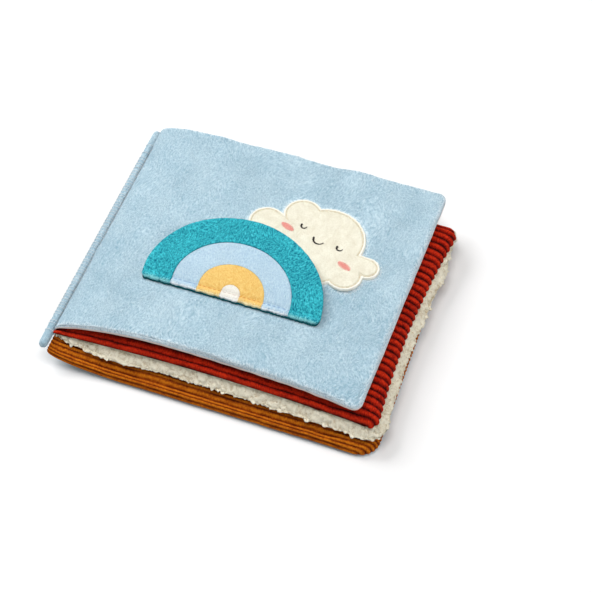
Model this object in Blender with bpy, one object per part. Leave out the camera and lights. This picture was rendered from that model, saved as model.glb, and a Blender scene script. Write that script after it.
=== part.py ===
"""Crinkle cloth book: three padded fabric leaves on a corded spine, with a rainbow flap to lift.

It lies closed on a table. +X runs from the spine to the fore edge, +Y from the tail, nearest the
reader, to the head, and +Z up. The origin is the middle of the flat that the back cover rests on.
"""

import math
from dataclasses import dataclass

import bmesh
import bpy
from mathutils import Matrix, Vector

# The leaves, head to tail and hinge line to fore edge
COVER_DEPTH = 0.183
PAGE_DEPTH = 0.166
COVER_REACH = 0.2145
PAGE_STEP = 0.0136
BACK_STEP = 0.0095

# How far each leaf has slipped towards the head on the leaf under it
COVER_SLIP = 0.010
PAGE_SLIP = 0.003

# Thickness of each padded leaf where it is fullest, and the share of it below its rim's seam
COVER_LOFT = 0.0085
PAGE_LOFT = 0.0170
BACK_LOFT = 0.0105
COVER_SEAM_SHARE = 0.46
PAGE_SEAM_SHARE = 0.46
BACK_SEAM_SHARE = 0.16

# Cloth, film and clearances
PLUSH = 0.0017
CORDUROY = 0.0018
FLEECE = 0.0030
LINING = 0.0012
FILM = 0.0004
CLEARANCE = 0.00035
PRESSED_SHARE = 0.6

# Rims, seams and corners
RIM = 0.010
COVER_CORNER = 0.0065
PAGE_CORNER = 0.010
BACK_CORNER = 0.013
PADDING_INSET = 0.008
FILM_INSET = 0.012

# How far each side is drawn in between its corners
COVER_TAIL_DRAW = 0.0064
PAGE_TAIL_DRAW = 0.0037
PAGE_FORE_DRAW = 0.0055
BACK_TAIL_DRAW = 0.0008
HEAD_DRAW = 0.0010

# How far a fore edge falls back at the tail
COVER_FORE_SLANT = 0.0051
PAGE_FORE_SLANT = 0.0068

# The thick fleece rolls out past its seam, less at the fore edge and least near the head
FLEECE_ROLL = 0.0098
FORE_ROLL_SHARE = 0.84
HEAD_ROLL_SHARE = 0.25
ROLL_FADE_START = 0.045
ROLL_FADE = 0.040

# Crown, waves and the rippled rim
CROWN_SHARE = 0.085
WAVE_SHARE = 0.012
WAVE_LENGTH = 0.130
RIPPLE = 0.0012
RIPPLE_LENGTH = 0.130

# Spine
SPINE_RADIUS = 0.0032
TAPER = 0.062
PADDING_START = 0.030

# Back cover's flat
FLAT_CUT = 0.0005

# Rainbow flap
FLAP_RADIUS = 0.061
FLAP_RISE_SHARE = 0.92
FLAP_X_FROM_FORE = 0.1088
FLAP_Y_FROM_TAIL = 0.0520
HEM_DEPTH = 0.0042
BAND = 0.0014
BACKING = 0.0010
FLAP_FILM = 0.00025
FLAP_FILM_INSET = 0.006
FLAP_RIM = 0.003
FLAP_EASE = 0.012
FLAP_LIFT = 0.0036
FLAP_LEAN_SHARE = 0.06
BAND_SHARES = (0.104, 0.365, 0.66, 1.0)

# Cloud appliqué and its stitched face, whose middle lies a little to the fore edge of the cloud's
CLOUD_WIDTH = 0.095
CLOUD_CLOTH = 0.0012
CLOUD_X_FROM_FORE = 0.0715
CLOUD_Y_FROM_TAIL = 0.1115
THREAD_RADIUS = 0.00045
FACE_TILT = math.radians(-20)
FACE_SHIFT = 0.0013
EYE_ARC = (math.radians(165), math.radians(210))
EYE_SPREAD = 0.0150
EYE_RAISE = 0.0053
EYE_RADIUS = 0.0021
SMILE_ARC = (math.radians(188), math.radians(165))
SMILE_RAISE = 0.0026
SMILE_RADIUS = 0.0040
CHEEK_SPREAD = 0.0247
CHEEK_SHIFT = 0.0015
CHEEK_DROP = 0.0032
CHEEK_FALL = 0.0011
CHEEK_LENGTH = 0.0104
CHEEK_WIDTH = 0.0052
CHEEK_STITCH = 0.0005

# The cloud's lobes: place and radius as shares of its width
LOBE_SHARES = (
    (-0.374, 0.056, 0.136),
    (-0.157, 0.201, 0.142),
    (0.066, 0.046, 0.278),
    (0.407, -0.102, 0.092),
    (0.276, -0.207, 0.132),
    (0.080, -0.175, 0.180),
    (-0.215, -0.110, 0.165),
)

# Where the grid lines of a leaf fall: in the taper, and in the rounded rim
TAPER_LINE_SHARES = (0.0, 0.06, 0.16, 0.32, 0.54, 0.78, 1.0)
RIM_LINE_SHARES = (0.0, 0.05, 0.18, 0.42, 0.72, 1.0, 1.3)
SPANS_ALONG = 4
SPANS_ACROSS = 5
FLAP_TURNS = 22
HEM_SPANS = 12
CLOUD_TURNS = 56
CLOUD_RING_SHARES = (0.0, 0.5, 1.0)
CHEEK_TURNS = 14
ARC_SPANS = 8
SHARP_ANGLE = math.radians(40)

SPINE_EDGE = SPINE_RADIUS + CLEARANCE
BACK_REACH = COVER_REACH + BACK_STEP
PAGE_REACH = COVER_REACH + PAGE_STEP
STACK_HEIGHT = BACK_LOFT + PAGE_LOFT + COVER_LOFT + 2 * CLEARANCE
HINGE_X = -BACK_REACH / 2
HINGE_Z = STACK_HEIGHT / 2


@dataclass
class Leaf:
    """One leaf: its plan, its padding and the two cloths that are sewn together round its rim."""

    name: str
    middle: float
    depth: float
    reach: float
    corner: float
    loft: float
    low_share: float
    top_cloth: float
    low_cloth: float
    tail_draw: float
    fore_draw: float = 0.0
    fore_slant: float = 0.0
    ripple: float = 0.0
    roll: float = 0.0

    @property
    def pinch(self):
        """Thickness at the spine seam, where the two cloths are pressed together."""
        return PRESSED_SHARE * (self.top_cloth + self.low_cloth) + CLEARANCE


BACK = Leaf("back_cover", 0.0, COVER_DEPTH, BACK_REACH, BACK_CORNER, BACK_LOFT, BACK_SEAM_SHARE,
            CORDUROY, PLUSH, BACK_TAIL_DRAW)
PAGE = Leaf("middle_leaf", PAGE_SLIP, PAGE_DEPTH, PAGE_REACH, PAGE_CORNER, PAGE_LOFT, PAGE_SEAM_SHARE,
            CORDUROY, FLEECE, PAGE_TAIL_DRAW, PAGE_FORE_DRAW, PAGE_FORE_SLANT, roll=FLEECE_ROLL)
FRONT = Leaf("front_cover", PAGE_SLIP + COVER_SLIP, COVER_DEPTH, COVER_REACH, COVER_CORNER, COVER_LOFT,
             COVER_SEAM_SHARE, PLUSH, LINING, COVER_TAIL_DRAW, fore_slant=COVER_FORE_SLANT, ripple=RIPPLE)
STACK = (BACK, PAGE, FRONT)
PINCHED_STACK = sum(leaf.pinch for leaf in STACK) + 2 * CLEARANCE


def rise(share):
    """A quarter round from 0 to 1: steep at a seam, level where the padding is full."""
    share = min(max(share, 0.0), 1.0)
    return math.sqrt(1.0 - (1.0 - share) ** 2)


def bow(share):
    """0 at both ends of a side and 1 at its middle."""
    return 4.0 * share * (1.0 - share)


def ease(share):
    """0 to 1, level at both ends."""
    share = min(max(share, 0.0), 1.0)
    return share * share * (3.0 - 2.0 * share)


def fullness(x):
    """Share of the full loft at a distance from the spine."""
    return rise((x - HINGE_X - SPINE_EDGE) / TAPER)


def crown(x, y):
    """Height of the stack here as a share of its full height: domed, with slow waves."""
    along = x / (BACK_REACH / 2)
    across = (y - PAGE_SLIP) / (COVER_DEPTH / 2)
    wave = math.sin(math.tau * x / WAVE_LENGTH) * math.cos(math.tau * y / WAVE_LENGTH)
    return 1.0 - CROWN_SHARE * (along ** 2 + across ** 2) / 2 + WAVE_SHARE * wave


def leaf_span(leaf, x, y):
    """Heights of a leaf's underside and top, found by piling the leaves up from the table."""
    full = fullness(x)
    low = (HINGE_Z - PINCHED_STACK / 2) * (1.0 - full)
    for other in STACK:
        swell = full * (1.0 + (crown(x, y) - 1.0) * full)
        high = low + other.pinch + (other.loft - other.pinch) * swell
        if other is leaf:
            return low, high
        low = high + CLEARANCE


def cloth_levels(leaf, x, y, inset):
    """Heights of a leaf's four cloth faces: upper outside, upper inside, lower inside, lower outside."""
    low, high = leaf_span(leaf, x, y)
    puff = rise(inset / RIM)
    spare = high - low - leaf.pinch
    top_seam = PRESSED_SHARE * leaf.top_cloth
    low_seam = PRESSED_SHARE * leaf.low_cloth
    seam = low + low_seam + CLEARANCE / 2 + leaf.low_share * spare
    fade = max(1.0 - inset / PADDING_INSET, 0.0) ** 2
    seam += leaf.ripple * fullness(x) * fade * math.sin(math.pi * x / RIPPLE_LENGTH) ** 2
    top = seam + CLEARANCE / 2 + top_seam + (1.0 - leaf.low_share) * spare * puff
    bottom = seam - CLEARANCE / 2 - low_seam - leaf.low_share * spare * puff
    soft = PRESSED_SHARE + (1.0 - PRESSED_SHARE) * puff * fullness(x)
    return top, top - soft * leaf.top_cloth, bottom + soft * leaf.low_cloth, bottom


def round_corner(across, along, radius):
    """Carry a spot of a square corner onto a round one, and give its distance from the outline."""
    if across >= radius or along >= radius:
        return across, along, min(across, along)
    a = 1.0 - across / radius
    b = 1.0 - along / radius
    a, b = a * math.sqrt(1.0 - b * b / 2), b * math.sqrt(1.0 - a * a / 2)
    return radius * (1.0 - a), radius * (1.0 - b), radius * (1.0 - math.hypot(a, b))


def leaf_place(leaf, u, v):
    """A spot u from the hinge line and v from the tail: its world x and y, its inset from the rim, and
    the direction from it out of the leaf's side."""
    from_far = v > leaf.depth / 2
    side = leaf.depth - v if from_far else v
    fore, side, inset = round_corner(leaf.reach - u, side, leaf.corner)
    if max(fore, side) < leaf.corner:
        out = Vector((leaf.corner - fore, leaf.corner - side)).normalized()
    else:
        out = Vector((1.0, 0.0)) if fore < side else Vector((0.0, 1.0))
    if not from_far:
        out.y = -out.y
    u = leaf.reach - fore
    v = leaf.depth - side if from_far else side
    share = v / leaf.depth
    pull = (leaf.fore_draw * bow(share) + leaf.fore_slant * (1.0 - share)) / (leaf.reach - SPINE_EDGE)
    x = HINGE_X + SPINE_EDGE + (u - SPINE_EDGE) * (1.0 - pull)
    sway = bow(u / leaf.reach) * (leaf.tail_draw * (1.0 - share) - HEAD_DRAW * share)
    return x, leaf.middle - leaf.depth / 2 + v + sway, inset, out


def rolled(leaf, x, y, inset, out):
    """World x and y of a spot of a thick cloth's outside, which rolls out past the leaf's seam."""
    turn = math.acos(1.0 - min(max(inset, 0.0) / RIM, 1.0))
    fore = FORE_ROLL_SHARE + (HEAD_ROLL_SHARE - FORE_ROLL_SHARE) * ease((y - ROLL_FADE_START) / ROLL_FADE)
    far = leaf.roll * math.sin(2 * turn) * fullness(x) * (1.0 + (fore - 1.0) * out.x ** 2)
    return x + far * out.x, y + far * out.y


def leaf_lines(leaf, inset, start):
    """Grid lines along and across a leaf, from a distance off the spine and an inset from the rim."""
    rim = [RIM * share for share in RIM_LINE_SHARES]
    taper_end = SPINE_EDGE + TAPER
    inner = leaf.reach - rim[-1]
    along = [SPINE_EDGE + TAPER * share for share in TAPER_LINE_SHARES]
    along += [taper_end + (inner - taper_end) * step / SPANS_ALONG for step in range(1, SPANS_ALONG)]
    along += [leaf.reach - distance for distance in reversed(rim)]
    middle = leaf.depth - 2 * rim[-1]
    across = rim + [rim[-1] + middle * step / SPANS_ACROSS for step in range(1, SPANS_ACROSS)]
    across += [leaf.depth - distance for distance in reversed(rim)]
    slack = CLEARANCE / 2
    along = [u for u in along if start - slack <= u <= leaf.reach - inset + slack]
    across = [v for v in across if inset - slack <= v <= leaf.depth - inset + slack]
    return along, across


def material(name, colour, roughness):
    """A plain cloth or film finish."""
    made = bpy.data.materials.new(name)
    made.use_nodes = True
    shader = made.node_tree.nodes["Principled BSDF"]
    shader.inputs["Base Color"].default_value = (*colour, 1.0)
    shader.inputs["Roughness"].default_value = roughness
    shader.inputs["Metallic"].default_value = 0.0
    made.diffuse_color = (*colour, 1.0)
    return made


def add_object(name, data, finish, anchor):
    """Put a piece in the book's collection, on the empty that carries its body."""
    piece = bpy.data.objects.new(name, data)
    data.materials.append(finish)
    bpy.data.collections["crinkle_cloth_book"].objects.link(piece)
    piece.parent = anchor
    return piece


def layer(name, rows, columns, place, finish, anchor):
    """One closed layer of cloth: a grid laid out by place(), which gives a spot's top and underside."""
    bm = bmesh.new()
    bmesh.ops.create_grid(bm, x_segments=len(rows) - 1, y_segments=len(columns) - 1, size=1)
    under = bm.verts.layers.float_vector.new("underside")
    for vert in bm.verts:
        row = round((vert.co.x + 1) / 2 * (len(rows) - 1))
        column = round((vert.co.y + 1) / 2 * (len(columns) - 1))
        vert.co, vert[under] = place(rows[row], columns[column])
    bmesh.ops.remove_doubles(bm, verts=bm.verts, dist=CLEARANCE / 100)
    grown = bmesh.ops.extrude_face_region(bm, geom=bm.faces[:], use_keep_orig=True)
    for vert in (item for item in grown["geom"] if isinstance(item, bmesh.types.BMVert)):
        vert.co = vert[under]
    bmesh.ops.recalc_face_normals(bm, faces=bm.faces)
    if bm.calc_volume(signed=True) < 0.0:
        bmesh.ops.reverse_faces(bm, faces=bm.faces)
    bmesh.ops.translate(bm, verts=bm.verts, vec=-anchor.location)
    mesh = bpy.data.meshes.new(name)
    bm.to_mesh(mesh)
    bm.free()
    mesh.shade_smooth()
    mesh.set_sharp_from_angle(angle=SHARP_ANGLE)
    return add_object(name, mesh, finish, anchor)


def leaf_layer(leaf, part, finish, anchor, levels, inset=0.0, start=SPINE_EDGE, rolls=False):
    """A layer that spans a leaf, or the inside of it, between the two heights that levels() gives."""
    along, across = leaf_lines(leaf, inset, start)

    def place(u, v):
        x, y, from_rim, out = leaf_place(leaf, u, v)
        top, bottom = levels(x, y, from_rim)
        under = rolled(leaf, x, y, from_rim, out) if rolls else (x, y)
        return Vector((x, y, top)), Vector((*under, bottom))

    return layer(f"{leaf.name}_{part}", along, across, place, finish, anchor)


def build_leaf(leaf, top_name, low_name, top_finish, low_finish, anchor, finishes):
    """Upper cloth, lower cloth, padding and the film that crinkles under the upper cloth."""

    def upper(x, y, inset):
        return cloth_levels(leaf, x, y, inset)[:2]

    def lower(x, y, inset):
        inside, outside = cloth_levels(leaf, x, y, inset)[2:]
        if leaf is BACK:
            outside = max(outside - FLAT_CUT * rise(inset / RIM) * crown(x, y) * fullness(x), 0.0)
        return inside, outside

    def film(x, y, inset):
        under_cloth = cloth_levels(leaf, x, y, inset)[1] - CLEARANCE
        return under_cloth, under_cloth - FILM

    def padding(x, y, inset):
        inside_low = cloth_levels(leaf, x, y, inset)[2]
        return film(x, y, inset)[1] - CLEARANCE, inside_low + CLEARANCE

    leaf_layer(leaf, top_name, top_finish, anchor, upper)
    leaf_layer(leaf, low_name, low_finish, anchor, lower, rolls=leaf.roll > 0.0)
    leaf_layer(leaf, "crinkle_film", finishes["film"], anchor, film, FILM_INSET, PADDING_START)
    leaf_layer(leaf, "padding", finishes["padding"], anchor, padding, PADDING_INSET, PADDING_START)


def tube(name, points, radius, finish, anchor, resolution):
    """A round thread or cord along some points, with filled ends."""
    curve = bpy.data.curves.new(name, "CURVE")
    curve.dimensions = "3D"
    curve.bevel_depth = radius
    curve.bevel_resolution = resolution
    curve.use_fill_caps = True
    spline = curve.splines.new("POLY")
    spline.points.add(len(points) - 1)
    for spot, (x, y, z) in zip(spline.points, points):
        spot.co = (x - anchor.location.x, y - anchor.location.y, z - anchor.location.z, 1.0)
    return add_object(name, curve, finish, anchor)


def cover_top(x, y):
    """Height of the front cover's plush, well inside its rim."""
    return cloth_levels(FRONT, x, y, RIM)[0]


def from_fore_and_tail(from_fore, from_tail):
    """World x and y of a spot on the front cover."""
    return HINGE_X + COVER_REACH - from_fore, FRONT.middle - COVER_DEPTH / 2 + from_tail


FLAP_X, FLAP_Y = from_fore_and_tail(FLAP_X_FROM_FORE, FLAP_Y_FROM_TAIL)
CLOUD_X, CLOUD_Y = from_fore_and_tail(CLOUD_X_FROM_FORE, CLOUD_Y_FROM_TAIL)
FLAP_THICKNESS = BACKING + FLAP_FILM + BAND + 2 * CLEARANCE


def flap_floor(x, y):
    """Underside of the flap: on the cover at its stitch line, then up over the cloud, a little open."""
    over_cloud = (CLOUD_CLOTH + CLEARANCE) * ease((y - FLAP_Y) / FLAP_EASE)
    lift = FLAP_LIFT * max(y - FLAP_Y, 0.0) / FLAP_RADIUS
    return cover_top(x, y) + CLEARANCE + over_cloud + lift


def flap_hinge_height():
    """The flap's top along its stitch line, at its highest."""
    spots = [FLAP_X + FLAP_RADIUS * step / SPANS_ALONG for step in range(-SPANS_ALONG, SPANS_ALONG + 1)]
    return max(flap_floor(x, FLAP_Y) for x in spots) + FLAP_THICKNESS


def half_ring(radius, turn):
    """World x and y on the flap at a radius, turned from its fore end (0) to its spine end (1)."""
    angle = math.pi * turn
    rise_up = FLAP_RISE_SHARE * radius * math.sin(angle)
    x = FLAP_X + radius * math.cos(angle) - FLAP_LEAN_SHARE * rise_up
    return x, FLAP_Y + CLEARANCE / 2 + rise_up


def flap_radii(inner, outer):
    """Radii of the rings that all the flap's layers share, from one radius to another."""
    rings = [FLAP_RADIUS * share for share in BAND_SHARES[:-1]]
    rings += [FLAP_RADIUS - FLAP_FILM_INSET, FLAP_RADIUS - FLAP_RIM, FLAP_RADIUS - FLAP_RIM / 4]
    return [inner] + [ring for ring in rings if inner + CLEARANCE < ring < outer - CLEARANCE] + [outer]


def flap_layer(name, inner, outer, base, thickness, finish, anchor):
    """A half ring of cloth that lies a height above the flap's underside, thinner at its outer rim."""

    def place(radius, turn):
        x, y = half_ring(radius, turn)
        bottom = flap_floor(x, y) + base
        puff = PRESSED_SHARE + (1.0 - PRESSED_SHARE) * rise((FLAP_RADIUS - radius) / FLAP_RIM)
        return Vector((x, y, bottom + thickness * puff)), Vector((x, y, bottom))

    turns = [step / FLAP_TURNS for step in range(FLAP_TURNS + 1)]
    return layer(name, flap_radii(inner, outer), turns, place, finish, anchor)


def build_flap(anchor, finishes):
    """The lift-up rainbow: backing, crinkle film and four bands of cloth."""
    flap_layer("rainbow_backing", 0.0, FLAP_RADIUS, 0.0, BACKING, finishes["backing"], anchor)
    film_base = BACKING + CLEARANCE
    film_outer = FLAP_RADIUS - FLAP_FILM_INSET
    flap_layer("rainbow_crinkle_film", 0.0, film_outer, film_base, FLAP_FILM, finishes["film"], anchor)
    band_base = film_base + FLAP_FILM + CLEARANCE
    inner = 0.0
    for name, share in zip(("white_centre", "yellow_arch", "sky_arch", "teal_arch"), BAND_SHARES):
        outer = FLAP_RADIUS * share
        flap_layer(f"rainbow_{name}", inner, outer, band_base, BAND, finishes[name], anchor)
        inner = outer + CLEARANCE


def build_hem(anchor, finishes):
    """The strip below the flap's stitch line, sewn down on the cover, with its two low corners round."""
    corner = HEM_DEPTH * PRESSED_SHARE
    rows = [0.0, corner / 2, corner, HEM_DEPTH]
    side = [0.0, corner / 2, corner]
    straight = 2 * FLAP_RADIUS - 2 * corner
    across = side + [corner + straight * step / HEM_SPANS for step in range(1, HEM_SPANS)]
    across += [2 * FLAP_RADIUS - distance for distance in reversed(side)]

    def place(up, along):
        from_end = min(along, 2 * FLAP_RADIUS - along)
        end, rise_up, _ = round_corner(from_end, up, corner)
        x = FLAP_X + math.copysign(FLAP_RADIUS - end, along - FLAP_RADIUS)
        y = FLAP_Y - CLEARANCE / 2 - HEM_DEPTH + rise_up
        bottom = cover_top(x, y) + CLEARANCE
        return Vector((x, y, bottom + FLAP_THICKNESS - CLEARANCE)), Vector((x, y, bottom))

    layer("flap_sewn_hem", rows, across, place, finishes["teal_arch"], anchor)


def cloud_radius(angle):
    """Distance from the cloud's middle to its outline: the farthest lobe in that direction."""
    far = 0.0
    for lobe_x, lobe_y, lobe_r in LOBE_SHARES:
        ahead = lobe_x * math.cos(angle) + lobe_y * math.sin(angle)
        reach = ahead ** 2 - lobe_x ** 2 - lobe_y ** 2 + lobe_r ** 2
        if reach > 0.0:
            far = max(far, ahead + math.sqrt(reach))
    return far * CLOUD_WIDTH


def round_shares(turns):
    """Shares of a full turn, evenly spaced, back to the first."""
    return [step / turns for step in range(turns)] + [0.0]


def cloud_top(x, y):
    """Height of the cloud's cloth."""
    return cover_top(x, y) + CLEARANCE + CLOUD_CLOTH


def face_spot(across, up):
    """World x and y of a spot on the cloud's face, which is tilted."""
    across += FACE_SHIFT
    x = CLOUD_X + across * math.cos(FACE_TILT) - up * math.sin(FACE_TILT)
    return x, CLOUD_Y + across * math.sin(FACE_TILT) + up * math.cos(FACE_TILT)


def stitched_arc(name, across, up, radius, arc, finish, anchor):
    """A thread round part of a circle, as a closed eye or a smile."""
    start, sweep = arc
    points = []
    for step in range(ARC_SPANS + 1):
        angle = start + sweep * step / ARC_SPANS
        x, y = face_spot(across + radius * math.cos(angle), up + radius * math.sin(angle))
        points.append((x, y, cloud_top(x, y) + CLEARANCE + THREAD_RADIUS))
    tube(name, points, THREAD_RADIUS, finish, anchor, resolution=1)


def build_cloud(anchor, finishes):
    """The cloud's cloth, its two closed eyes, smile and cheeks."""

    def cloth(share, turn):
        angle = math.tau * turn
        x = CLOUD_X + share * cloud_radius(angle) * math.cos(angle)
        y = CLOUD_Y + share * cloud_radius(angle) * math.sin(angle)
        return Vector((x, y, cloud_top(x, y))), Vector((x, y, cloud_top(x, y) - CLOUD_CLOTH))

    layer("cloud_applique", CLOUD_RING_SHARES, round_shares(CLOUD_TURNS), cloth, finishes["cloud"], anchor)

    for side, sign in (("left", -1), ("right", 1)):
        stitched_arc(f"cloud_{side}_eye", sign * EYE_SPREAD, EYE_RAISE, EYE_RADIUS, EYE_ARC,
                     finishes["thread"], anchor)

        def cheek(share, turn, sign=sign):
            angle = math.tau * turn
            across = sign * CHEEK_SPREAD + CHEEK_SHIFT + share * CHEEK_LENGTH / 2 * math.cos(angle)
            up = share * CHEEK_WIDTH / 2 * math.sin(angle) - CHEEK_DROP - sign * CHEEK_FALL
            x, y = face_spot(across, up)
            bottom = cloud_top(x, y) + CLEARANCE
            return Vector((x, y, bottom + CHEEK_STITCH)), Vector((x, y, bottom))

        ring = round_shares(CHEEK_TURNS)
        layer(f"cloud_{side}_cheek", (0.0, 1.0), ring, cheek, finishes["cheek"], anchor)
    stitched_arc("cloud_smile", 0.0, SMILE_RAISE, SMILE_RADIUS, SMILE_ARC, finishes["thread"], anchor)


def build_spine(anchor, finish):
    """The covered cord that the three leaves are sewn to; their hinge line is its middle."""
    ends = [edge for leaf in STACK for edge in (leaf.middle - leaf.depth / 2, leaf.middle + leaf.depth / 2)]
    points = [(HINGE_X, min(ends), HINGE_Z), (HINGE_X, max(ends), HINGE_Z)]
    tube("spine_cord", points, SPINE_RADIUS, finish, anchor, resolution=4)


def add_anchor(name, place, parent):
    """An empty that carries one body, on the axis of that body's joint."""
    anchor = bpy.data.objects.new(name, None)
    bpy.data.collections["crinkle_cloth_book"].objects.link(anchor)
    anchor.location = place
    if parent:
        anchor.parent = parent
        anchor.matrix_parent_inverse = Matrix.Translation(-parent.location)
    return anchor


def main():
    for old in list(bpy.data.objects):
        bpy.data.objects.remove(old)
    book = bpy.data.collections.new("crinkle_cloth_book")
    bpy.context.scene.collection.children.link(book)
    finishes = {
        "plush": material("pale_blue_plush", (0.45, 0.63, 0.74), 0.95),
        "lining": material("cream_lining", (0.74, 0.62, 0.55), 0.9),
        "red": material("red_corduroy", (0.29, 0.022, 0.012), 0.9),
        "fleece": material("cream_fleece", (0.75, 0.69, 0.58), 1.0),
        "amber": material("amber_corduroy", (0.46, 0.15, 0.02), 0.9),
        "film": material("crinkle_film", (0.80, 0.84, 0.86), 0.25),
        "padding": material("polyester_padding", (0.85, 0.85, 0.83), 1.0),
        "spine": material("blue_spine_cloth", (0.40, 0.58, 0.70), 0.95),
        "white_centre": material("white_plush", (0.87, 0.84, 0.78), 0.95),
        "yellow_arch": material("yellow_plush", (0.87, 0.60, 0.20), 0.95),
        "sky_arch": material("sky_plush", (0.55, 0.70, 0.86), 0.95),
        "teal_arch": material("teal_plush", (0.02, 0.37, 0.44), 0.95),
        "backing": material("dark_teal_cloth", (0.0, 0.12, 0.15), 0.9),
        "cloud": material("cream_velvet", (0.85, 0.80, 0.70), 0.95),
        "thread": material("dark_thread", (0.04, 0.03, 0.025), 0.6),
        "cheek": material("coral_stitching", (0.85, 0.32, 0.25), 0.7),
    }
    spine_place = (HINGE_X, 0.0, HINGE_Z)
    table = add_anchor("back_cover_anchor", (0.0, 0.0, 0.0), None)
    page = add_anchor("middle_leaf_hinge", spine_place, table)
    front = add_anchor("front_cover_hinge", spine_place, page)
    flap = add_anchor("rainbow_flap_hinge", (FLAP_X, FLAP_Y, flap_hinge_height()), front)

    build_leaf(BACK, "corduroy", "plush", finishes["amber"], finishes["plush"], table, finishes)
    build_spine(table, finishes["spine"])
    build_leaf(PAGE, "corduroy", "fleece", finishes["red"], finishes["fleece"], page, finishes)
    build_leaf(FRONT, "plush", "lining", finishes["plush"], finishes["lining"], front, finishes)
    build_cloud(front, finishes)
    build_hem(front, finishes)
    build_flap(flap, finishes)


main()
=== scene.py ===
"""The finished crinkle cloth book: its cloths, filling, spine, lift-up rainbow and embroidery.

+X runs from the spine to the fore edge, +Y from the tail to the head and +Z up, all in metres.
"""

import math
from dataclasses import dataclass

import bmesh
import bpy
from mathutils import Matrix, Vector, noise


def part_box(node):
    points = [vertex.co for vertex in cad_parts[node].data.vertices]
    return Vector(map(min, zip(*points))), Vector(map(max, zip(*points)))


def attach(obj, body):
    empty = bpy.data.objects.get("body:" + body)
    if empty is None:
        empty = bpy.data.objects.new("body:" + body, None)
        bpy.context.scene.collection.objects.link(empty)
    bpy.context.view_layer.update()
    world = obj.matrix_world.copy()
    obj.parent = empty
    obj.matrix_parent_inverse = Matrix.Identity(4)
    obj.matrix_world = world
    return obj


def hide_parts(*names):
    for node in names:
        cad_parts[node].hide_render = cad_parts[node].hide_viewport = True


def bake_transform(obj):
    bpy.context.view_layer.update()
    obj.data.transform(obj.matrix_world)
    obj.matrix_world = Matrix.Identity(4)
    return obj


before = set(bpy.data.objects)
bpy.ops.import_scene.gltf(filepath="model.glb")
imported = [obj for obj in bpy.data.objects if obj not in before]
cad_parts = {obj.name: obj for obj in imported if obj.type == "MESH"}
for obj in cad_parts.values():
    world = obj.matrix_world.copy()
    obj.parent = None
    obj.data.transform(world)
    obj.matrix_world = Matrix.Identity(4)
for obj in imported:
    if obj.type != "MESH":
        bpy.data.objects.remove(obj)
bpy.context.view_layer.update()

# The fleece's tufts lie alike in every build
noise.seed_set(1)

# Camera, as far round and above the book as in the photograph
CAMERA_AZIMUTH = math.radians(19.21)
CAMERA_ELEVATION = math.radians(54.24)
CAMERA_DISTANCE = 0.9
CAMERA_TARGET = Vector((0.0330, -0.0113, 0.0350))
LENS = 85.05
SENSOR = 36.0

# Level of the pale surround as light, and where the floor turns plain white, from the middle
SURROUND = 0.24
FLOOR_WHITE_FROM = 0.38
FLOOR_WHITE_TO = 0.90

# Spine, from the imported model
SPINE_LOW, SPINE_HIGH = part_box("spine_cord")
HINGE_X = (SPINE_LOW.x + SPINE_HIGH.x) / 2
HINGE_Z = (SPINE_LOW.z + SPINE_HIGH.z) / 2
SPINE_RADIUS = (SPINE_HIGH.x - SPINE_LOW.x) / 2

# The leaves, head to tail and hinge line to fore edge
COVER_DEPTH = 0.183
PAGE_DEPTH = 0.166
COVER_REACH = 0.2145
PAGE_REACH = 0.2281
BACK_REACH = 0.224
PAGE_SLIP = 0.003
COVER_SLIP = 0.010

# Cloth, film and clearances, and the share of its thickness that a cloth keeps when it is sewn down
PLUSH = 0.0017
CORDUROY = 0.0018
FLEECE = 0.0030
LINING = 0.0012
FILM = 0.0004
CLEARANCE = 0.00035
PRESSED_SHARE = 0.6

# Padded shape
RIM = 0.010
COVER_RIM = 0.006
EDGE_ROUND = 0.0012
PADDING_INSET = 0.008
PADDING_START = 0.030
TAPER = 0.062
HEAD_DRAW = 0.0010
CROWN_SHARE = 0.085
WAVE_SHARE = 0.012
WAVE_LENGTH = 0.130
RIPPLE_LENGTH = 0.130
FLAT_CUT = 0.0005
HILLS = 0.0012
CORNER_FOLDS = 0.026
GROUND_FADE = 0.012

# Channel that the seam pulls into a page, in from its head and tail
CHANNEL_DEPTH = 0.0025
CHANNEL_INSET = 0.0047
CHANNEL_WIDTH = 0.0016
CHANNEL_END = 0.016
CHANNEL_FADE = 0.020

# Front cover's rim: a fold beside the seam, a band of painted highlight in the pile's pale tip colour, and
# the loose corner's crumple
FOLD_DEPTH = 0.0014
FOLD_INSET = 0.0026
FOLD_WIDTH = 0.0006
RIM_HIGHLIGHT_BAND = 0.0050
CRUMPLE = 0.0012
LINING_ROLL = 0.0008

# Steps of each cloth's grid along it and across it, and round its rim
AMBER_GRID = (0.003, 0.00048, 22)
RED_GRID = (0.003, 0.00065, 22)
FLEECE_GRID = (0.0011, 0.0011, 22)
UNDERSIDE_GRID = (0.003, 0.003, 14)
COVER_GRID = (0.0014, 0.0014, 18)
LINING_GRID = (0.0022, 0.0022, 18)
WADDING_GRID = (0.005, 0.005, 8)
FILM_GRID = (0.0035, 0.0035, 8)

# Corduroy wales: their pitch, their height, how sharp the grooves are, and where the first groove is
RED_WALES = (0.0052, 0.0013, 0.75, 0.0033)
AMBER_WALES = (0.0029, 0.0007, 0.70, 0.0)

# Fleece rim, which rolls out past its seam
ROLL = 0.0098
FORE_ROLL_SHARE = 0.97
HEAD_ROLL_SHARE = 0.25
ROLL_FADE_START = 0.045
ROLL_FADE = 0.040

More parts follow.
